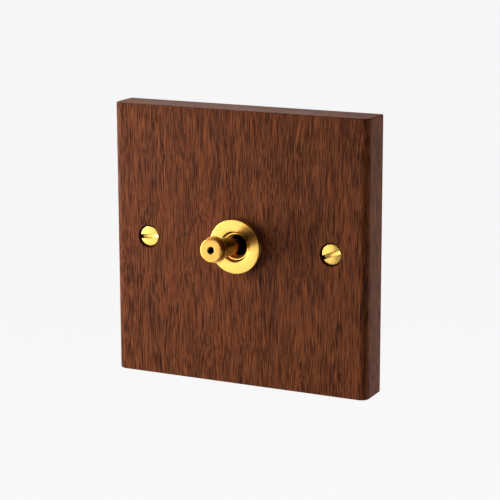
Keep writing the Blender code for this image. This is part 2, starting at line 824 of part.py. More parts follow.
def make_bush_nut():
    """Star washer and hexagon nut that clamp the bush to the support plate."""
    washer_front = SUPPORT_BACK + GAP
    washer_back = washer_front + 0.5 * MM
    inner = BUSH_RADIUS + GAP
    washer = [
        (inner, washer_back),
        (6.2 * MM, washer_back),
        (6.2 * MM, washer_front),
        (inner, washer_front),
    ]
    turned("star_washer", washer, STEEL, facing=FACING_BOX, sides=24)
    corner = NUT_ACROSS_FLATS / 2 / math.cos(math.pi / 6)
    nut = rod("hex_nut", corner, NUT_FRONT, NUT_FRONT + NUT_THICKNESS, BRASS, facing=FACING_BOX, sides=6)
    bore = rod("nut_cutter", inner, NUT_FRONT - PAST, NUT_FRONT + NUT_THICKNESS + PAST, None,
               facing=FACING_BOX, sides=24)
    cut(nut, bore)


# ---------------------------------------------------------------- assembly


def new_pivot(name, location, tilt):
    """An empty on a hinge's axis, tilted about X. The moving pieces are its children."""
    pivot = bpy.data.objects.new(name, None)
    PARTS.objects.link(pivot)
    pivot.location = location
    pivot.rotation_euler = (tilt, 0, 0)
    return pivot


def main():
    make_wood_plate()
    make_support_plate()
    make_earth_terminal()
    make_fixing_screw("fixing_screw_left", -FIXING_X, math.radians(7))
    make_fixing_screw("fixing_screw_right", FIXING_X, math.radians(24))
    make_collar()
    make_bush()
    make_bush_nut()
    make_housing()
    make_change_over_terminal("upper", 1)
    make_change_over_terminal("lower", -1)
    make_common_terminal()

    lever_pivot = new_pivot("lever_pivot", (0, -PIVOT_OUT, 0), math.radians(90) - LEVER_TILT)
    make_lever(lever_pivot)
    make_actuator(lever_pivot)

    rocker_pivot = new_pivot("rocker_pivot", (0, ROCKER_DEPTH, 0), ROCKER_TILT)
    make_rocker(rocker_pivot)


main()
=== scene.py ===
"""Looks of the toggle wall switch: detailed pieces, procedural materials, studio and camera.

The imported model's frame: metres, +Z up, the wall at y = 0 and the room on its -Y side.
Shapes are made in millimetres and scaled as they are put in place. A turned piece is made
about its own Z axis, so its object coordinates follow its lathe. Lengths inside the shaders
are in millimetres too.
"""
import json
import math
from collections import namedtuple

import bmesh
import bpy
from mathutils import Matrix, Vector


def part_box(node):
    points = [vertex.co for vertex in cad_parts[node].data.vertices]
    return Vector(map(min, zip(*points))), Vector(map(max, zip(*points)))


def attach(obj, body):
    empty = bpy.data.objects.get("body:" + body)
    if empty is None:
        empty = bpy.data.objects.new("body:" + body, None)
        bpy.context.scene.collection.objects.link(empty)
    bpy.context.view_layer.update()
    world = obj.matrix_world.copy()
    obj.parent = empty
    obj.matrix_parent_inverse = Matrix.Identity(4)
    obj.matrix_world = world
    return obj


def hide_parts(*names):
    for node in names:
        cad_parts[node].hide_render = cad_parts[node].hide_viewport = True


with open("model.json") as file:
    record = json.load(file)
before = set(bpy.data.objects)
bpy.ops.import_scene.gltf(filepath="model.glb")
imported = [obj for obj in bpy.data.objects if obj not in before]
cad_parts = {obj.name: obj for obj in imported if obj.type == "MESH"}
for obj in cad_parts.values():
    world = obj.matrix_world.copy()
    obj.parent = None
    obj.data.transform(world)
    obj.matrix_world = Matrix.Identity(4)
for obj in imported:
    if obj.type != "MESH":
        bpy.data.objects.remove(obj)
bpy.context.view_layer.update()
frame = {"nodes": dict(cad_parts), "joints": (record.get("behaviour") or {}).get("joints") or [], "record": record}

MM = 0.001
SMOOTH = math.radians(30)
FACING_ROOM = Matrix.Rotation(math.radians(90), 4, "X")  # turns +Z to -Y
FACING_BOX = Matrix.Rotation(math.radians(-90), 4, "X")  # turns +Z to +Y

# Camera
CAMERA_AZIMUTH = 25.97
CAMERA_ELEVATION = 12.6
CAMERA_ROLL = math.radians(-0.16)
CAMERA_DISTANCE = 551.8 * MM
CAMERA_LENS = 132.3
CAMERA_AIM = Vector((1.14, -5.0, -2.48)) * MM
BACKDROP = (0.93, 0.93, 0.93)

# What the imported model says
SLOTS = {part["node"]: part["material_slot"] for part in frame["record"]["subparts"]}
BODY_NODES = frame["record"]["behaviour"]["bodies"]
BODIES = {node: body for body, nodes in BODY_NODES.items() for node in nodes}
JOINTS = {joint["name"]: joint for joint in frame["joints"]}
LEVER_PIVOT = Vector(JOINTS["lever_hinge"]["pos_m"])
LEVER_TILT = math.asin(JOINTS["plunger_slide"]["axis"][2])
LEVER_PLACE = Matrix.Translation(LEVER_PIVOT) @ Matrix.Rotation(math.pi / 2 - LEVER_TILT, 4, "X")
PLATE_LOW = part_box("wood_plate")[0]

# Shape details in millimetres
CLEARANCE = 0.3
SIDE_ROUND = 2.6  # the plate's upright front edges
BACK_ROUND = 0.5
END_ROUND = 0.5
COLLAR_BORE = 4.6
BARREL_RADIUS = 4.25
MOUTH_RADIUS = 3.8
THROAT_RADIUS = 2.35
THROAT_OUT = -PLATE_LOW.y / MM - 0.5  # from the wall, just inside the plate's face
CHAMBER_RADIUS = 3.2
FLANGE_BACK = 18.45  # from the lever's pivot
FLANGE_THICKNESS = 0.6
STUD_RADIUS = 1.5  # the end of the shank inside the cap
HEAD_SUNK = 0.6  # from the top of a packed fixing screw to its rim here
HEAD_DOME = 0.15
SLOT_WIDTH = 1.35
SLOT_DEPTH = 1.1
FIXING_CLEARANCE = 2.1
PILOT_RADIUS = 1.4  # also the holes for the plate screws in the support plate
FIXING_SCREWS = ("fixing_screw_left", "fixing_screw_right")
PLATE_SCREWS = tuple(f"plate_screw_{number}" for number in range(1, 5))

ScrewKind = namedtuple(
    "ScrewKind", "head_height dome shank pitch point slot_width slot_depth slot_angle",
)
CLAMPING = ScrewKind(1.4, 0.15, 1.25, 0.45, 0.5, 0.7, 0.8, -25)
CLOSING = ScrewKind(1.2, 0.5, 1.0, 0.4, 0.8, 0.6, 0.6, 35)
WOOD_SCREW = ScrewKind(1.2, 0.5, 1.1, 0.9, 1.8, 0.6, 0.6, -23)


# ---------------------------------------------------------------- studio


def towards(azimuth, elevation):
    """Unit vector from the switch, in degrees. Azimuth 0 is straight into the room, 90 is +X."""
    a = math.radians(azimuth)
    e = math.radians(elevation)
    return Vector((math.sin(a) * math.cos(e), -math.cos(a) * math.cos(e), math.sin(e)))


def look_back(direction):
    """Turns -Z to look back along a direction, with +Y as upright as it can be."""
    return direction.to_track_quat("Z", "Y").to_matrix().to_4x4()


def make_camera():
    data = bpy.data.cameras.new("camera")
    data.lens = CAMERA_LENS
    data.sensor_width = 36
    camera = bpy.data.objects.new("camera", data)
    bpy.context.scene.collection.objects.link(camera)
    direction = towards(CAMERA_AZIMUTH, CAMERA_ELEVATION)
    place = Matrix.Translation(CAMERA_AIM + direction * CAMERA_DISTANCE)
    roll = Matrix.Rotation(CAMERA_ROLL, 4, "Z")
    camera.matrix_world = place @ look_back(direction) @ roll
    bpy.context.scene.camera = camera


def add_softbox(name, azimuth, elevation, distance, size, radiance):
    """A white area light that faces the switch and that the camera doesn't see."""
    data = bpy.data.lights.new(name, "AREA")
    data.shape = "RECTANGLE"
    data.size, data.size_y = size
    data.energy = radiance * math.pi * size[0] * size[1]
    light = bpy.data.objects.new(name, data)
    bpy.context.scene.collection.objects.link(light)
    direction = towards(azimuth, elevation)
    light.matrix_world = Matrix.Translation(direction * distance) @ look_back(direction)
    light.visible_camera = False


def make_studio():
    make_world()
    add_softbox("left_light", -62, 4, 0.42, (0.29, 0.37), 7.0)
    add_softbox("right_light", 127, 5, 0.6, (0.25, 0.5), 3.5)
    add_softbox("top_light", -140, 46, 0.7, (0.5, 0.5), 4.7)
    add_softbox("low_light", -37, -9, 0.6, (0.42, 0.30), 1.15)
    make_floor()
    bpy.context.scene.view_settings.view_transform = "Standard"


def make_world():
    """A pale room that is dark to the right of the camera, which sees an even backdrop."""
    world = bpy.data.worlds.new("studio")
    world.use_nodes = True
    bpy.context.scene.world = world
    tree = world.node_tree
    tree.nodes.clear()
    place = tree.nodes.new("ShaderNodeTexCoord")
    facing = tree.nodes.new("ShaderNodeVectorMath")
    facing.operation = "DOT_PRODUCT"
    facing.inputs[1].default_value = towards(75, 0)
    ramp = tree.nodes.new("ShaderNodeMapRange")
    ramp.interpolation_type = "SMOOTHSTEP"
    ramp.inputs["From Min"].default_value = -0.25
    ramp.inputs["From Max"].default_value = 0.60
    ramp.inputs["To Min"].default_value = 0.42
    ramp.inputs["To Max"].default_value = 0.02
    room = tree.nodes.new("ShaderNodeBackground")
    backdrop = tree.nodes.new("ShaderNodeBackground")
    backdrop.inputs["Color"].default_value = (*BACKDROP, 1)
    path = tree.nodes.new("ShaderNodeLightPath")
    mix = tree.nodes.new("ShaderNodeMixShader")
    output = tree.nodes.new("ShaderNodeOutputWorld")
    tree.links.new(place.outputs["Generated"], facing.inputs[0])
    tree.links.new(facing.outputs["Value"], ramp.inputs["Value"])
    tree.links.new(ramp.outputs["Result"], room.inputs["Strength"])
    tree.links.new(path.outputs["Is Camera Ray"], mix.inputs["Fac"])
    tree.links.new(room.outputs[0], mix.inputs[1])
    tree.links.new(backdrop.outputs[0], mix.inputs[2])
    tree.links.new(mix.outputs[0], output.inputs["Surface"])


def make_floor():
    """Pale floor, far enough below that the switch hangs clear of it."""
    drop = 0.28
    shape = bmesh.new()
    bmesh.ops.create_circle(shape, cap_ends=True, segments=96, radius=9)
    mesh = bpy.data.meshes.new("floor")
    shape.to_mesh(mesh)
    shape.free()
    floor = bpy.data.objects.new("floor", mesh)
    bpy.context.scene.collection.objects.link(floor)
    floor.location.z = PLATE_LOW.z - drop
    paper = Graph("floor_paper", (0.05, 0.05, 0.05), 0.9)
    paper.set("Specular IOR Level", 0)
    paper.set("Emission Color", (1, 1, 1))
    split = paper.tree.nodes.new("ShaderNodeSeparateXYZ")
    paper.feed(split.inputs[0], paper.millimetres())
    paper.set("Emission Strength", paper.between(split.outputs["Y"], 50, 450, 0.30, 0.915))
    mesh.materials.append(paper.material)
    return floor


# ---------------------------------------------------------------- shader graphs


class Graph:
    """One material, with short calls that add nodes and give back their outputs."""

    def __init__(self, name, colour, roughness, metallic=0.0):
        self.material = bpy.data.materials.new(name)
        self.material.use_nodes = True
        self.tree = self.material.node_tree
        self.shader = self.tree.nodes["Principled BSDF"]
        self.shader.inputs["Base Color"].default_value = (*colour, 1)
        self.shader.inputs["Roughness"].default_value = roughness
        self.shader.inputs["Metallic"].default_value = metallic
        self.material.diffuse_color = (*colour, 1)

    def set(self, socket, value):
        """Gives a shader input a number or colour, or joins it to a node's output."""
        self.feed(self.shader.inputs[socket], value)

    def feed(self, socket, value):
        if isinstance(value, bpy.types.NodeSocket):
            self.tree.links.new(value, socket)
        elif socket.type == "RGBA":
            socket.default_value = (*value, 1)
        else:
            socket.default_value = value

    def millimetres(self):
        """Object coordinates in millimetres."""
        source = self.tree.nodes.new("ShaderNodeTexCoord")
        return self.scaled(source.outputs["Object"], (1 / MM, 1 / MM, 1 / MM))

    def scaled(self, vector, scale, shift=(0, 0, 0)):
        mapping = self.tree.nodes.new("ShaderNodeMapping")
        mapping.inputs["Scale"].default_value = scale
        mapping.inputs["Location"].default_value = shift
        self.tree.links.new(vector, mapping.inputs["Vector"])
        return mapping.outputs["Vector"]

    def vector(self, operation, one, other=(0, 0, 0), output="Vector"):
        node = self.tree.nodes.new("ShaderNodeVectorMath")
        node.operation = operation
        self.feed(node.inputs[0], one)
        self.feed(node.inputs[1], other)
        return node.outputs[output]

    def noise(self, vector, detail=2.0, roughness=0.5, output="Fac"):
        node = self.tree.nodes.new("ShaderNodeTexNoise")
        node.inputs["Scale"].default_value = 1.0
        node.inputs["Detail"].default_value = detail
        node.inputs["Roughness"].default_value = roughness
        self.tree.links.new(vector, node.inputs["Vector"])
        return node.outputs[output]

    def maths(self, operation, one, other=0.0):
        node = self.tree.nodes.new("ShaderNodeMath")
        node.operation = operation
        self.feed(node.inputs[0], one)
        self.feed(node.inputs[1], other)
        return node.outputs["Value"]

    def between(self, value, low, high, to_low=0.0, to_high=1.0):
        """Maps low..high smoothly to to_low..to_high."""
        node = self.tree.nodes.new("ShaderNodeMapRange")
        node.interpolation_type = "SMOOTHSTEP"
        self.feed(node.inputs["Value"], value)
        node.inputs["From Min"].default_value = low
        node.inputs["From Max"].default_value = high
        node.inputs["To Min"].default_value = to_low
        node.inputs["To Max"].default_value = to_high
        return node.outputs["Result"]

    def mixed(self, share, one, other, kind="MIX"):
        """Colour one, going over to the other as the share goes from 0 to 1."""
        node = self.tree.nodes.new("ShaderNodeMix")
        node.data_type = "RGBA"
        node.blend_type = kind
        self.feed(node.inputs[0], share)
        self.feed(node.inputs[6], one)
        self.feed(node.inputs[7], other)
        return node.outputs[2]

    def bumped(self, height, depth, below=None):
        """A bump of the given depth in millimetres, on top of another one if there is one."""
        node = self.tree.nodes.new("ShaderNodeBump")
        node.inputs["Strength"].default_value = 1.0
        node.inputs["Distance"].default_value = depth * MM
        self.tree.links.new(height, node.inputs["Height"])
        if below:
            self.tree.links.new(below, node.inputs["Normal"])
        return node.outputs["Normal"]

    def turned_radius(self, mm):
        """Distance from the piece's own Z axis, in millimetres."""
        return self.vector("LENGTH", self.vector("MULTIPLY", mm, (1, 1, 0)), output="Value")


# ---------------------------------------------------------------- materials


def make_hardwood():
    """Dark red-brown hardwood, grain along Z: fibres, dark pores, pale flecks, broad bands."""
    wood = Graph("hardwood", (0.13, 0.05, 0.028), 0.45)
    mm = wood.millimetres()
    # The fibres wander a little sideways along their length.
    drift = wood.noise(wood.scaled(mm, (0.05, 0.05, 0.03)), detail=1, output="Color")
    ripple = wood.noise(wood.scaled(mm, (0.3, 0.3, 0.09), (7, 3, 5)), detail=1, output="Color")
    sideways = wood.vector("MULTIPLY", wood.vector("SUBTRACT", drift, (0.5, 0.5, 0.5)), (4, 4, 0))
    waves = wood.vector("MULTIPLY", wood.vector("SUBTRACT", ripple, (0.5, 0.5, 0.5)), (0.35, 0.35, 0))
    grain = wood.vector("ADD", mm, wood.vector("ADD", sideways, waves))

    fibres = wood.noise(wood.scaled(grain, (4.2, 4.2, 0.15)), detail=2, roughness=0.6)
    bands = wood.noise(wood.scaled(grain, (0.22, 0.5, 0.018), (3, 1, 4)), detail=3, roughness=0.55)
    pores = wood.noise(wood.scaled(grain, (4.4, 4.4, 0.13), (11, 5, 2)), detail=1)
    flecks = wood.noise(wood.scaled(grain, (3.6, 3.6, 0.13), (2, 9, 8)), detail=2)
    crowding = wood.noise(wood.scaled(grain, (0.35, 0.35, 0.06), (1, 6, 3)), detail=2)

    pore_share = wood.maths("ADD", pores, wood.maths("MULTIPLY", crowding, 0.2))
    pore_mask = wood.between(pore_share, 0.64, 0.82)
    fleck_mask = wood.between(flecks, 0.48, 0.72)

    deep = (0.058, 0.0180, 0.0095)
    middle = (0.217, 0.0645, 0.0255)
    bright = (0.450, 0.1260, 0.0380)
    black = (0.022, 0.0085, 0.0070)
    tone = wood.between(wood.maths("ADD", fibres, wood.maths("MULTIPLY", bands, 0.3)), 0.53, 0.77)
    colour = wood.mixed(tone, deep, middle)
    colour = wood.mixed(wood.maths("MULTIPLY", fleck_mask, 0.5), colour, bright)
    colour = wood.mixed(wood.maths("MULTIPLY", pore_mask, 0.75), colour, black)
    wood.set("Base Color", colour)
    wood.set("Roughness", wood.between(pore_mask, 0.0, 1.0, 0.40, 0.60))
    wood.set("Specular IOR Level", 0.03)
    relief = wood.maths("SUBTRACT", wood.maths("MULTIPLY", fibres, 0.5), pore_mask)
    wood.set("Normal", wood.bumped(relief, 0.03))
    return wood.material


def make_brass(name, colour, roughness, lathe=0.0004, smudges=0.10, painted_shade_at=None):
    """Polished brass: faint lathe rings, hairline scratches and dull smudges.

    An optional last function is given the graph, the tint, the radius and the height, and
    gives back the tint with painted shade mixed in.
    """
    brass = Graph(name, colour, roughness, metallic=1.0)
    mm = brass.millimetres()
    radius = brass.turned_radius(mm)
    across = brass.tree.nodes.new("ShaderNodeCombineXYZ")
    brass.feed(across.inputs[0], brass.maths("MULTIPLY", radius, 5.0))
    rings = brass.noise(across.outputs[0], detail=3, roughness=0.7)
    hairlines = brass.noise(brass.scaled(mm, (7, 0.9, 0.9), (1, 5, 2)), detail=2)
    smudge = brass.noise(brass.scaled(mm, (0.4, 0.4, 0.4), (4, 2, 7)), detail=4, roughness=0.6)
    dull = brass.between(smudge, 0.42, 0.75)
    polish = brass.between(hairlines, 0.35, 0.8, roughness * 0.85, roughness * 1.3)
    brass.set("Roughness", brass.maths("ADD", polish, brass.maths("MULTIPLY", dull, smudges)))
    aged = tuple(channel * share for channel, share in zip(colour, (0.94, 0.88, 0.78)))
    tint = brass.mixed(brass.maths("MULTIPLY", dull, 0.7), colour, aged)
    # painted shade, where a function for it is given
    if painted_shade_at:
        split = brass.tree.nodes.new("ShaderNodeSeparateXYZ")
        brass.feed(split.inputs[0], mm)
        tint = painted_shade_at(brass, tint, radius, split.outputs["Z"])
    brass.set("Base Color", tint)
    brass.set("Normal", brass.bumped(hairlines, 0.0003, brass.bumped(rings, lathe)))
    return brass.material


def bore_painted_shade(brass, tint, radius, height):
    """Painted shade: near black deep inside the mouth of the bush."""
    depth = brass.between(height, THROAT_OUT + 0.2, THROAT_OUT + 1.2, 1, 0)
    inside = brass.between(radius, BARREL_RADIUS - 0.5, BARREL_RADIUS - 0.3, 1, 0)
    return brass.mixed(brass.maths("MULTIPLY", depth, inside), tint, (0.012, 0.008, 0.005))


def neck_and_hole_painted_shade(brass, tint, radius, height):
    """Painted shade: dark brown on the lever below its flange, and near black in the hole at its tip."""
    neck = brass.between(height, FLANGE_BACK - FLANGE_THICKNESS, FLANGE_BACK, 0.8, 0)
    # painted shade: dark brown on the neck below the flange
    tint = brass.mixed(neck, tint, (0.34, 0.13, 0.025))
    # painted shade: near black inside the hole
    hole = brass.between(radius, 0.92, 0.98, 1, 0)
    return brass.mixed(hole, tint, (0.006, 0.004, 0.003))


def make_plated_steel():
    """Zinc plating: a cool grey metal with a fine mottle and rolling marks along X."""
    steel = Graph("zinc_plated_steel", (0.56, 0.57, 0.58), 0.35, metallic=1.0)
    mm = steel.millimetres()
    rolled = steel.noise(steel.scaled(mm, (0.25, 5, 5)), detail=3, roughness=0.6)
    mottle = steel.noise(steel.scaled(mm, (0.5, 0.5, 0.5)), detail=5, roughness=0.6)
    shade = steel.between(mottle, 0.3, 0.7)
    steel.set("Base Color", steel.mixed(shade, (0.50, 0.51, 0.52), (0.64, 0.64, 0.63)))
    steel.set("Roughness", steel.between(mottle, 0.3, 0.75, 0.28, 0.42))
    steel.set("Normal", steel.bumped(rolled, 0.003))
    return steel.material


def make_moulded_case():
    """Black phenolic moulding with a fine moulded grain and faint flow mottling."""
    case = Graph("moulded_case", (0.018, 0.018, 0.020), 0.45)
    mm = case.millimetres()
    grain = case.noise(case.scaled(mm, (6, 6, 6)), detail=3, roughness=0.6)
    flow = case.noise(case.scaled(mm, (0.2, 0.2, 0.35)), detail=3)
    shade = case.between(flow, 0.35, 0.7)
    case.set("Base Color", case.mixed(shade, (0.013, 0.013, 0.014), (0.027, 0.026, 0.027)))
    case.set("Roughness", case.between(grain, 0.3, 0.7, 0.36, 0.52))
    case.set("Normal", case.bumped(grain, 0.010))
    return case.material


def make_nylon():
    """Natural nylon: milky, slightly translucent, with a soft moulding grain."""
    nylon = Graph("nylon", (0.72, 0.69, 0.60), 0.4)
    mm = nylon.millimetres()
    cloud = nylon.noise(nylon.scaled(mm, (0.8, 0.8, 0.8)), detail=3)
    grain = nylon.noise(nylon.scaled(mm, (7, 7, 7)), detail=2)
    nylon.set("Base Color", nylon.mixed(cloud, (0.66, 0.62, 0.52), (0.78, 0.76, 0.68)))
    nylon.set("Roughness", nylon.between(grain, 0.3, 0.7, 0.34, 0.5))
    nylon.set("Subsurface Weight", 0.15)
    nylon.set("Subsurface Scale", 0.6 * MM)
    nylon.set("Normal", nylon.bumped(grain, 0.004))
    return nylon.material


def make_silver():
    """Silver contact alloy with a light tarnish."""
    silver = Graph("contact_silver", (0.82, 0.80, 0.76), 0.25, metallic=1.0)
    mm = silver.millimetres()
    tarnish = silver.noise(silver.scaled(mm, (1.6, 1.6, 1.6)), detail=4)
    shade = silver.between(tarnish, 0.45, 0.75)
    silver.set("Base Color", silver.mixed(shade, (0.84, 0.82, 0.78), (0.62, 0.56, 0.46)))
    silver.set("Roughness", silver.between(tarnish, 0.3, 0.8, 0.18, 0.42))
    silver.set("Normal", silver.bumped(tarnish, 0.003))
    return silver.material


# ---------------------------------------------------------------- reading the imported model


def on_axis(node, facing):
    """The place of a turned node: on its own axis, in the wall plane."""
    low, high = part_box(node)
    middle = (low + high) / 2
    return Matrix.Translation((middle.x, 0, middle.z)) @ facing


def extent(node, place):
    """Lowest and highest corner of a node, in millimetres along the axes of a place."""
    inward = place.inverted()
    points = [inward @ vertex.co / MM for vertex in frame["nodes"][node].data.vertices]
    low = Vector([min(point[axis] for point in points) for axis in range(3)])
    high = Vector([max(point[axis] for point in points) for axis in range(3)])
    return low, high


def in_millimetres(place):
    """The same place for shapes that are still in millimetres."""
    moved = place.copy()
    moved.translation = place.translation / MM
    return moved


# ---------------------------------------------------------------- shaping, in millimetres


def new_shape(shape):
    """A temporary object made from a bmesh, at the origin."""
    bmesh.ops.recalc_face_normals(shape, faces=shape.faces)
    mesh = bpy.data.meshes.new("shape")
    shape.to_mesh(mesh)
    shape.free()
    obj = bpy.data.objects.new("shape", mesh)
    bpy.context.scene.collection.objects.link(obj)
    return obj


def turned(profile, sides=96, ring=False, surface=None):
    """Turns a profile of (radius, height) points about Z.

    A ring's profile is a closed loop. A surface function changes the radius from place to
    place: it is given the radius, the height and the angle.
    """
    shape = bmesh.new()
    rows = []
    for radius, height in profile:
        row = []
        for side in range(sides):
            angle = 2 * math.pi * side / sides
            r = surface(radius, height, angle) if surface else radius
            row.append(shape.verts.new((r * math.cos(angle), r * math.sin(angle), height)))
        rows.append(row)
    pairs = list(zip(rows, rows[1:]))
    if ring:
        pairs.append((rows[-1], rows[0]))
    for one, other in pairs:
        for side in range(sides):
            after = (side + 1) % sides
            shape.faces.new((one[side], one[after], other[after], other[side]))
    bmesh.ops.remove_doubles(shape, verts=shape.verts, dist=0.0001)
    return new_shape(shape)


def thread(low, high, pitch, depth):
    """A surface function: a screw thread between two heights, running out at both ends."""
    def cut_thread(radius, height, angle):
        inside = min(height - low, high - height) / pitch
        flank = 1 - abs(2 * ((height / pitch - angle / (2 * math.pi)) % 1) - 1)
        return radius - depth * flank * max(0.0, min(1.0, inside))
    return cut_thread


def threaded(radius, start, end, pitch):
    """Profile points along a threaded stretch, six to a turn."""
    count = round(abs(end - start) / pitch * 6)
    return [(radius, start + (end - start) * i / count) for i in range(count + 1)]


def arc(centre, radius, start, end, points):
    """Profile points round a centre, with angles in degrees from straight up."""
    angles = [math.radians(start + (end - start) * i / (points - 1)) for i in range(points)]
    return [(centre[0] + radius * math.sin(a), centre[1] + radius * math.cos(a)) for a in angles]


def eased(profile, ease, ring=False):
    """The profile with each sharp corner rounded off by the given amount."""
    points = [Vector(point) for point in profile]
    last = len(points) - 1
    smooth = []
    for index, corner in enumerate(points):
        back = points[index - 1] - corner
        ahead = points[(index + 1) % len(points)] - corner
        end_point = not ring and index in (0, last)
        if end_point or back.angle(ahead, math.pi) > math.radians(155):
            smooth.append(corner)
            continue
        reach = min(ease, back.length * 0.45, ahead.length * 0.45)
        start = corner + back.normalized() * reach
        end = corner + ahead.normalized() * reach
        for step in range(5):
            share = step / 4
            smooth.append(start.lerp(corner, share).lerp(corner.lerp(end, share), share))
    return [tuple(point) for point in smooth]


def rounded_outline(low, high, radii, steps=8):
    """A rectangle's outline from its lower left corner on, with a radius for each corner."""
    corners = ((low[0], low[1]), (high[0], low[1]), (high[0], high[1]), (low[0], high[1]))
    points = []
    for index, ((x, y), radius) in enumerate(zip(corners, radii)):
        centre_x = x + radius if x == low[0] else x - radius
        centre_y = y + radius if y == low[1] else y - radius
        for step in range(steps + 1):
            angle = math.pi / 2 * (2 + index + step / steps)
            points.append((centre_x + radius * math.cos(angle), centre_y + radius * math.sin(angle)))
    return points


def slab(outline, low, high):
    """An outline in X and Y, extruded from one height to another."""
    shape = bmesh.new()
    face = shape.faces.new([shape.verts.new((x, y, low)) for x, y in outline])
    grown = bmesh.ops.extrude_face_region(shape, geom=[face])
    raised = [item for item in grown["geom"] if isinstance(item, bmesh.types.BMVert)]
    bmesh.ops.translate(shape, verts=raised, vec=(0, 0, high - low))
    return new_shape(shape)


def block(low, high, radius=0.05):
    """A box between two corners, its upright edges rounded by a radius."""
    return slab(rounded_outline(low[:2], high[:2], (radius,) * 4, steps=3), low[2], high[2])


def bake(obj):
    """Makes the object's modifiers part of its mesh."""
    graph = bpy.context.evaluated_depsgraph_get()
    mesh = bpy.data.meshes.new_from_object(obj.evaluated_get(graph))
    obj.modifiers.clear()
    obj.data = mesh
    return obj


def cut(obj, *cutters, operation="DIFFERENCE"):
    """Cuts shapes out of another, or keeps only what they share, and removes them."""
    for cutter in cutters:
        boolean = obj.modifiers.new("Cut", "BOOLEAN")
        boolean.operation = operation
        boolean.object = cutter
    bake(obj)
    for cutter in cutters:
        bpy.data.objects.remove(cutter)
    return obj


def bevelled(obj, width, segments=2, angle=40):
    """Rounds every edge that is sharper than the angle."""
    bevel = obj.modifiers.new("Round", "BEVEL")
    bevel.limit_method = "ANGLE"
    bevel.angle_limit = math.radians(angle)
    bevel.width = width
    bevel.segments = segments
    return bake(obj)


def turn(obj, matrix):
    obj.data.transform(matrix)
    return obj


def put(obj, node, place=Matrix(), finish=None):
    """Sets a finished shape in its place, on the body of the node that it stands for."""
    mesh = obj.data
    mesh.transform(Matrix.Scale(MM, 4))
    mesh.shade_smooth()
    mesh.set_sharp_from_angle(angle=SMOOTH)
    mesh.materials.clear()
    mesh.materials.append(finish or FINISHES[SLOTS[node]])
    obj.name = f"{node}_detailed"
    mesh.name = obj.name
    obj.matrix_world = place
    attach(obj, BODIES[node])
    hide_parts(node)
    return obj


def softened(node, width):
    """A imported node's own shape, in world axes, with whole flat faces and rounded edges."""
    shape = bmesh.new()
    shape.from_mesh(frame["nodes"][node].data)
    bmesh.ops.scale(shape, vec=(1 / MM, 1 / MM, 1 / MM), verts=shape.verts)
    bmesh.ops.remove_doubles(shape, verts=shape.verts, dist=0.001)
    bmesh.ops.dissolve_limit(
        shape, angle_limit=math.radians(1), verts=shape.verts, edges=shape.edges,
    )
    return bevelled(new_shape(shape), width)


# ---------------------------------------------------------------- plate and fixings


def bore(node, facing, profile, sides=64):
    """A turned cutter on a node's axis, in world axes. Its heights run the way it faces."""
    return turn(turned(profile, sides), in_millimetres(on_axis(node, facing)))


def make_wood_plate():
    """Extruded moulding: wide roundings on its upright front edges, crisp end-grain faces."""
    low, high = extent("wood_plate", Matrix())
    radii = (SIDE_ROUND, SIDE_ROUND, BACK_ROUND, BACK_ROUND)
    outline = rounded_outline(low, high, radii, steps=16)
    plate = bevelled(slab(outline, low.z, high.z), END_ROUND, segments=4, angle=60)
    out = -low.y

    steel_low, steel_high = extent("support_plate", Matrix())
    pocket_low = (steel_low.x - CLEARANCE, steel_low.z - CLEARANCE)
    pocket_high = (steel_high.x + CLEARANCE, steel_high.z + CLEARANCE)
    pocket_corner = 3
    pocket_outline = rounded_outline(pocket_low, pocket_high, (pocket_corner,) * 4)
    pocket = turn(slab(pocket_outline, steel_low.y - CLEARANCE, 1), FACING_BOX)

    cutters = [pocket]
    clear = [(0, out + 1), (COLLAR_BORE, out + 1), (COLLAR_BORE, -1), (0, -1)]
    cutters.append(bore("threaded_bush", FACING_ROOM, clear))
    for node in FIXING_SCREWS:
        cutters.append(bore(node, FACING_ROOM, fixing_hole_profile(out)))
    pilot = [(0, 8), (PILOT_RADIUS, 7), (PILOT_RADIUS, 1), (0, 1)]
    for node in PLATE_SCREWS:
        cutters.append(bore(node, FACING_ROOM, pilot, sides=24))
    put(cut(plate, *cutters), "wood_plate")


def fixing_hole_profile(out):
    """An eased mouth, a straight wall, a 90 degree seat and a clearance bore."""
    mouth = 3.5
    seat = out - 1.5
    ease = 0.15
    return [
        (0, out + 1),
        (mouth + 2 * ease, out + 1),
        (mouth + 2 * ease, out + ease),
        (mouth, out - ease),
        (mouth, seat),
        (FIXING_CLEARANCE, seat - (mouth - FIXING_CLEARANCE)),
        (FIXING_CLEARANCE, -1),
        (0, -1),
    ]


def slot_bar(width, depth, top, angle):
    """Cutter for a screw's slot, turned by an angle in degrees about the screw's axis."""
    bar = block((-9, -width / 2, top - depth), (9, width / 2, top + 1))
    return turn(bar, Matrix.Rotation(math.radians(angle), 4, "Z"))


def saw_cut(width, depth, top, angle):
    """Cutter for a slot left by a disc saw, deepest at the middle, turned as slot_bar is."""
    blade = 12
    half = width / 2
    disc = turned([(0, -half), (blade, -half), (blade, half), (0, half)], sides=256)
    turn(disc, Matrix.Rotation(math.radians(90), 4, "X"))
    turn(disc, Matrix.Translation((0, 0, top - depth + blade)))
    return turn(disc, Matrix.Rotation(math.radians(angle), 4, "Z"))


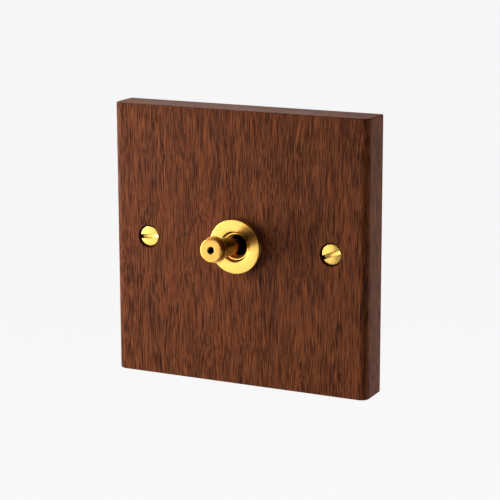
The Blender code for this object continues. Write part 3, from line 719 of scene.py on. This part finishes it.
def make_fixing_screw(node, angle):
    """Countersunk machine screw: an almost flat head, a 90 degree cone, a threaded shank."""
    place = on_axis(node, FACING_ROOM)
    low, high = extent(node, place)
    head = high.x
    shank = 1.65
    pitch = 0.7
    rim = high.z - HEAD_SUNK
    top = rim + HEAD_DOME
    cone_end = rim - 0.15 - (head - shank)
    sphere = (head**2 + HEAD_DOME**2) / (2 * HEAD_DOME)
    edge = math.degrees(math.asin(head / sphere))
    profile = arc((0, top - sphere), sphere, 0, edge * 0.96, 16)
    profile += [(head, rim - 0.02), (head, rim - 0.15)]
    profile += threaded(shank, cone_end, low.z + 0.6, pitch)
    profile += [(shank - 0.5, low.z), (0, low.z)]
    screw = turned(profile, sides=72, surface=thread(low.z - 0.3, cone_end - 0.5, pitch, 0.35))
    cut(screw, saw_cut(SLOT_WIDTH, SLOT_DEPTH, top, angle))
    put(bevelled(screw, 0.07, angle=50), node, place)


def make_small_screw(node, kind):
    """A slotted screw at the back. Its head faces the wall box."""
    place = on_axis(node, FACING_BOX)
    low, high = extent(node, place)
    head = high.x
    seat = high.z - kind.head_height
    rim = high.z - kind.dome
    profile = [(head * share, high.z - kind.dome * share**2) for share in (0, 0.25, 0.5, 0.7, 0.85)]
    profile += arc((head - 0.25, rim - 0.25), 0.25, 15, 90, 5)
    profile += [(head, seat + 0.1), (head - 0.1, seat)]
    profile += threaded(kind.shank, seat, low.z + kind.point, kind.pitch)
    profile += [(0.25, low.z), (0, low.z)]
    groove = thread(low.z - kind.pitch, seat, kind.pitch, kind.pitch * 0.45)
    screw = turned(profile, sides=48, surface=groove)
    cut(screw, slot_bar(kind.slot_width, kind.slot_depth, high.z, kind.slot_angle))
    put(bevelled(screw, 0.06, angle=50), node, place)


# ---------------------------------------------------------------- collar and bush


def make_collar():
    for node, ease in (("collar_washer", 0.15), ("collar_ring", 0.24)):
        place = on_axis(node, FACING_ROOM)
        low, high = extent(node, place)
        section = [
            (COLLAR_BORE, high.z), (high.x, high.z), (high.x, low.z), (COLLAR_BORE, low.z),
        ]
        put(turned(eased(section, ease, ring=True), sides=192, ring=True), node, place)


def make_bush():
    """Threaded barrel with a flared mouth, a throat, and a flange inside the housing."""
    node = "threaded_bush"
    place = on_axis(node, FACING_ROOM)
    low, high = extent(node, place)
    flange_front = low.z + 1.2
    flange_radius = high.x
    depth = high.z - THROAT_OUT
    flare = []
    for step in range(13):
        share = step / 12
        radius = THROAT_RADIUS + (MOUTH_RADIUS - THROAT_RADIUS) * share**1.3
        flare.append((radius, THROAT_OUT + depth * share))
    section = flare + [(BARREL_RADIUS - 0.15, high.z), (BARREL_RADIUS, high.z - 0.15)]
    section += threaded(BARREL_RADIUS, high.z - 0.3, flange_front, 0.75)
    section += [
        (flange_radius, flange_front),
        (flange_radius, low.z),
        (CHAMBER_RADIUS + 0.35, low.z),
        (CHAMBER_RADIUS, low.z + 4),
        (CHAMBER_RADIUS, THROAT_OUT - 1.4),
        (THROAT_RADIUS, THROAT_OUT - 0.6),
    ]
    grooves = thread(flange_front, high.z - 0.2, 0.75, 0.3)

    def barrel_only(radius, height, angle):
        return grooves(radius, height, angle) if radius == BARREL_RADIUS else radius

    bush = turned(section, sides=144, ring=True, surface=barrel_only)
    put(cut(bush, pin_bore()), node, place, BUSH_BRASS)


def pin_bore():
    """Cutter along X for the lever's pin, at the pivot, in axes that face the room."""
    radius = extent("pivot_pin", Matrix())[1].z + CLEARANCE
    pin = turned([(0, 8), (radius, 8), (radius, -8), (0, -8)], sides=32)
    turn(pin, Matrix.Rotation(math.radians(90), 4, "Y"))
    return turn(pin, Matrix.Translation((0, 0, -LEVER_PIVOT.y / MM)))


# ---------------------------------------------------------------- lever


def neck_radius(reach):
    """The neck is full behind the flange and drawn in on a sine towards the ball."""
    full, thin = 2.9, 1.3
    share = max(0.0, min(1.0, (reach - 3.7) / 8.1))
    return thin + (full - thin) * math.sin(share * math.pi / 2)


def make_lever_shank():
    """Stud, flange, neck, ball and tail, about the lever's own axis with the pivot at 0."""
    low, high = extent("lever_shank", LEVER_PLACE)
    flange = high.x
    flange_front = FLANGE_BACK + FLANGE_THICKNESS
    well_radius = 0.6
    well_floor = high.z - 3.6
    ball = 2.0
    tail = 1.2

    head = [
        (0, well_floor),
        (well_radius, well_floor),
        (well_radius, high.z),
        (STUD_RADIUS, high.z),
        (STUD_RADIUS, flange_front),
        (flange, flange_front),
        (flange, FLANGE_BACK),
    ]
    steps = 40
    neck_end = 1.55
    neck = []
    for step in range(steps + 1):
        height = FLANGE_BACK + (neck_end - FLANGE_BACK) * step / steps
        neck.append((neck_radius(height), height))
    profile = eased(head + neck[:1], 0.18) + neck[1:]
    profile += arc((0, 0), ball, 45, 142, 24)
    profile += [(tail, -2.2), (tail, low.z + 0.3), (tail - 0.3, low.z), (0, low.z)]
    shank = turned(profile, sides=144)
    put(cut(shank, hinge_hole()), "lever_shank", LEVER_PLACE)


def hinge_hole():
    """Cutter along X for the pin's hole through the lever's ball."""
    radius = 0.85
    hole = turned([(0, 4), (radius, 4), (radius, -4), (0, -4)], sides=32)
    return turn(hole, Matrix.Rotation(math.radians(90), 4, "Y"))


def make_lever_cap():
    """A slightly domed face with an eased edge and a small hole, screwed over the stud."""
    low, high = extent("lever_cap", LEVER_PLACE)
    stud_end = extent("lever_shank", LEVER_PLACE)[1].z
    hole = 0.85
    lip = 0.3
    dome = 0.10
    face = high.x - 0.2
    section = []
    for step in range(9):
        share = step / 8
        radius = hole + lip + (face - hole - lip) * share
        section.append((radius, high.z - dome * share**2))
    section += [
        (high.x, high.z - dome - 0.2),
        (high.x, low.z),
        (STUD_RADIUS + CLEARANCE, low.z),
        (STUD_RADIUS + CLEARANCE, stud_end + CLEARANCE),
        (hole, stud_end + CLEARANCE),
        (hole, high.z - lip),
    ]
    cap = turned(eased(section, 0.08, ring=True), sides=144, ring=True)
    put(cap, "lever_cap", LEVER_PLACE)


# ---------------------------------------------------------------- behind the plate


def make_support_plate():
    """Zinc-plated steel blank with rounded corners and deburred holes."""
    low, high = extent("support_plate", FACING_BOX)
    plate = slab(rounded_outline(low, high, (2.5,) * 4), low.z, high.z)
    cutters = []
    holes = [("threaded_bush", COLLAR_BORE), ("earth_terminal", 1.8)]
    holes += [(node, FIXING_CLEARANCE) for node in FIXING_SCREWS]
    holes += [(node, PILOT_RADIUS) for node in PLATE_SCREWS]
    for node, radius in holes:
        hole = turned([(0, 2), (radius, 2), (radius, -4), (0, -4)], sides=48)
        node_low, node_high = extent(node, FACING_BOX)
        middle = (node_low + node_high) / 2
        cutters.append(turn(hole, Matrix.Translation((middle.x, middle.y, 0))))
    put(bevelled(cut(plate, *cutters), 0.15), "support_plate", FACING_BOX)


def make_nut():
    """Hexagon nut, chamfered outside and in."""
    place = on_axis("hex_nut", FACING_BOX)
    low, high = extent("hex_nut", place)
    corner, flat = high.x, high.y
    nut = turned([(0, high.z), (corner, high.z), (corner, low.z), (0, low.z)], sides=6)
    chamfer = turned([
        (0, high.z),
        (flat - 0.1, high.z),
        (corner, high.z - 0.55),
        (corner, low.z + 0.55),
        (flat - 0.1, low.z),
        (0, low.z),
    ], sides=96)
    cut(nut, chamfer, operation="INTERSECT")
    cut(nut, turned([
        (0, high.z + 1),
        (COLLAR_BORE + 1.4, high.z + 1),
        (COLLAR_BORE, high.z - 0.4),
        (COLLAR_BORE, low.z - 1),
        (0, low.z - 1),
    ]))
    put(bevelled(nut, 0.08), "hex_nut", place)


def make_star_washer():
    """Lock washer with teeth round its rim, under the nut."""
    place = on_axis("hex_nut", FACING_BOX)
    low, high = extent("star_washer", place)
    teeth = 16
    notch = 0.8
    root = 5.3
    bore_radius = BARREL_RADIUS + CLEARANCE

    def toothed(radius, height, angle):
        gap = math.sin(angle * teeth) < 0
        return radius - notch if gap and radius > root + 0.1 else radius

    section = [(bore_radius, high.z), (root, high.z), (high.x, high.z)]
    section += [(high.x, low.z), (root, low.z), (bore_radius, low.z)]
    put(turned(section, sides=teeth * 8, ring=True, surface=toothed), "star_washer", place)


def make_housing():
    """Moulded case and base, with shallow sunk panels and counterbored screws."""
    body = softened("housing_body", 0.25)
    low, high = extent("housing_body", Matrix())
    sink = 0.4
    margin = 3.0
    panels = []
    for side in (-1, 1):
        edge = high.z if side > 0 else low.z
        bottom, top = sorted((edge - side * sink, edge + side))
        panels.append(block(
            (low.x + margin, low.y + margin, bottom), (high.x - margin, high.y - margin, top), 1.0,
        ))
        edge = high.x if side > 0 else low.x
        near, far = sorted((edge - side * sink, edge + side))
        panels.append(block(
            (near, low.y + margin, low.z + margin), (far, high.y - margin, high.z - margin),
        ))
    put(bevelled(cut(body, *panels), 0.12, angle=50), "housing_body")
    put(softened("housing_base", 0.3), "housing_base")


def make_terminals():
    for node in ("common_terminal", "upper_terminal", "lower_terminal", "earth_terminal", "rocker"):
        put(softened(node, 0.12), node)


# ---------------------------------------------------------------- everything


make_camera()
make_studio()
BRASS_COLOUR = (0.94, 0.60, 0.14)
FINISHES = {
    "hardwood": make_hardwood(),
    "polished_brass": make_brass("polished_brass", BRASS_COLOUR, 0.20, smudges=0.04),
    # the lever's brass carries painted shade on its neck and in its hole
    "lever_brass": make_brass("lever_brass", (0.86, 0.46, 0.105), 0.15, lathe=0.0012, painted_shade_at=neck_and_hole_painted_shade),
    "terminal_brass": make_brass("terminal_brass", (0.74, 0.54, 0.22), 0.26, smudges=0.2),
    "zinc_steel": make_plated_steel(),
    "contact_silver": make_silver(),
    "moulded_case": make_moulded_case(),
    "nylon": make_nylon(),
}
# the bush's brass carries painted shade deep inside its mouth
BUSH_BRASS = make_brass("bush_brass", BRASS_COLOUR, 0.16, painted_shade_at=bore_painted_shade)

for node, slot_name in SLOTS.items():
    mesh = frame["nodes"][node].data
    mesh.materials.clear()
    mesh.materials.append(FINISHES[slot_name])

make_wood_plate()
make_fixing_screw("fixing_screw_left", 7)
make_fixing_screw("fixing_screw_right", 24)
make_collar()
make_bush()
make_lever_shank()
make_lever_cap()
make_support_plate()
make_nut()
make_star_washer()
make_housing()
make_terminals()
for node in ("common_screw", "upper_screw", "lower_screw", "earth_screw"):
    make_small_screw(node, CLAMPING)
for node in ("housing_screw_1", "housing_screw_2"):
    make_small_screw(node, CLOSING)
for node in PLATE_SCREWS:
    make_small_screw(node, WOOD_SCREW)
